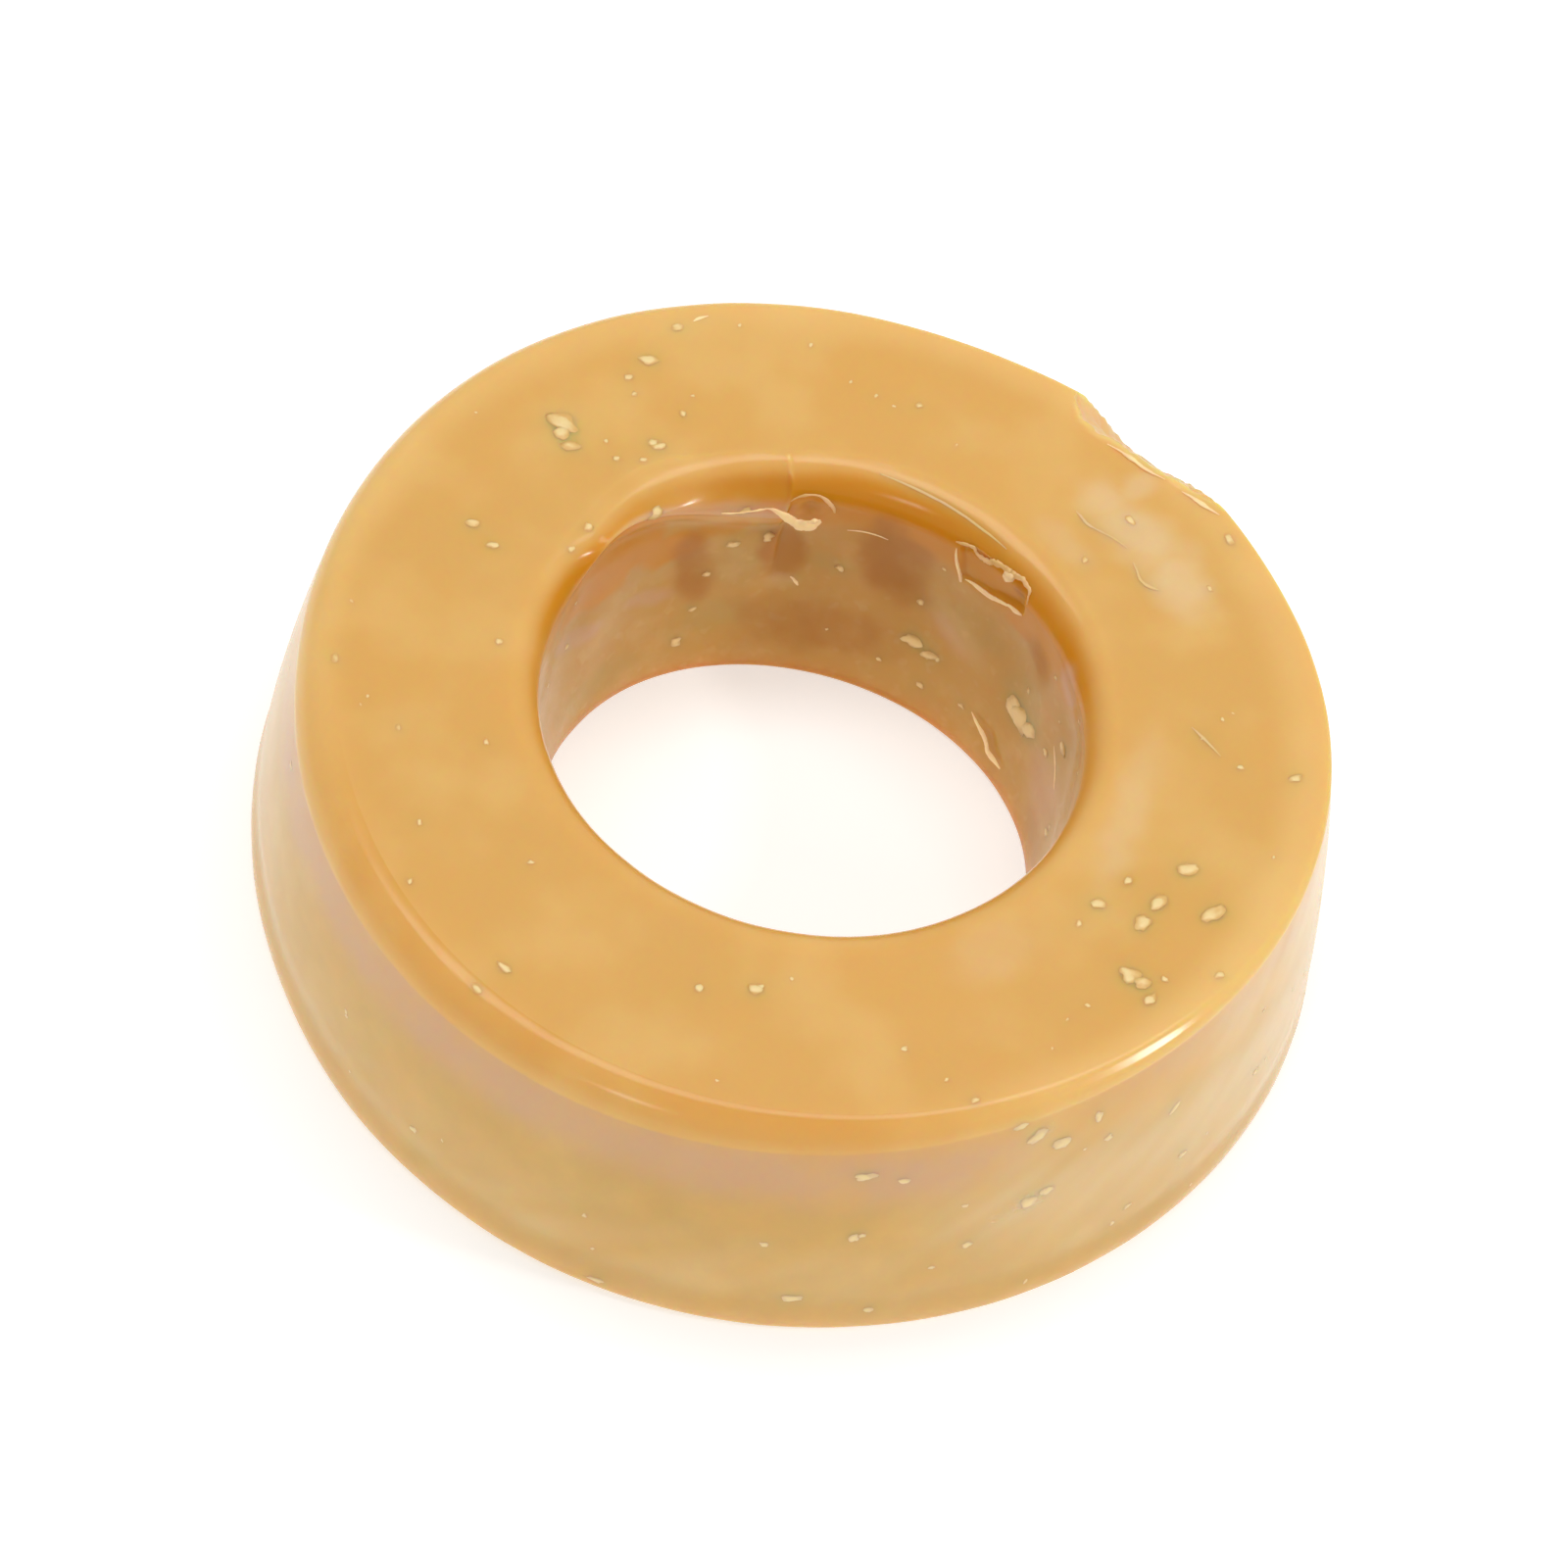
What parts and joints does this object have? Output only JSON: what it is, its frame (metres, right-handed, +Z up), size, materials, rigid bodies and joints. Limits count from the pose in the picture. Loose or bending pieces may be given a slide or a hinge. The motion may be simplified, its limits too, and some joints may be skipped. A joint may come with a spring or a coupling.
{
  "type": "urinal wax ring",
  "caption": "Soft wax sealing ring with a round bore, wider at its base, with a slumped and torn bore rim and a gouged outer edge.",
  "frame": {"origin": "on the flat base, under the centre of the ring's box", "axes": "+Z up the bore, from the wide base to the narrower top face; the gouge in the outer edge lies towards +X +Y, and the slumped stretch of the bore's rim towards -X +Y"},
  "size_m": [0.1022, 0.1008, 0.0271],
  "materials": {
    "wax": "semi-gloss amber wax, slightly translucent, with pale crumbs and bloom"
  },
  "bodies": {
    "root": {"wax_ring": "wax"}
  },
  "joints": []
}
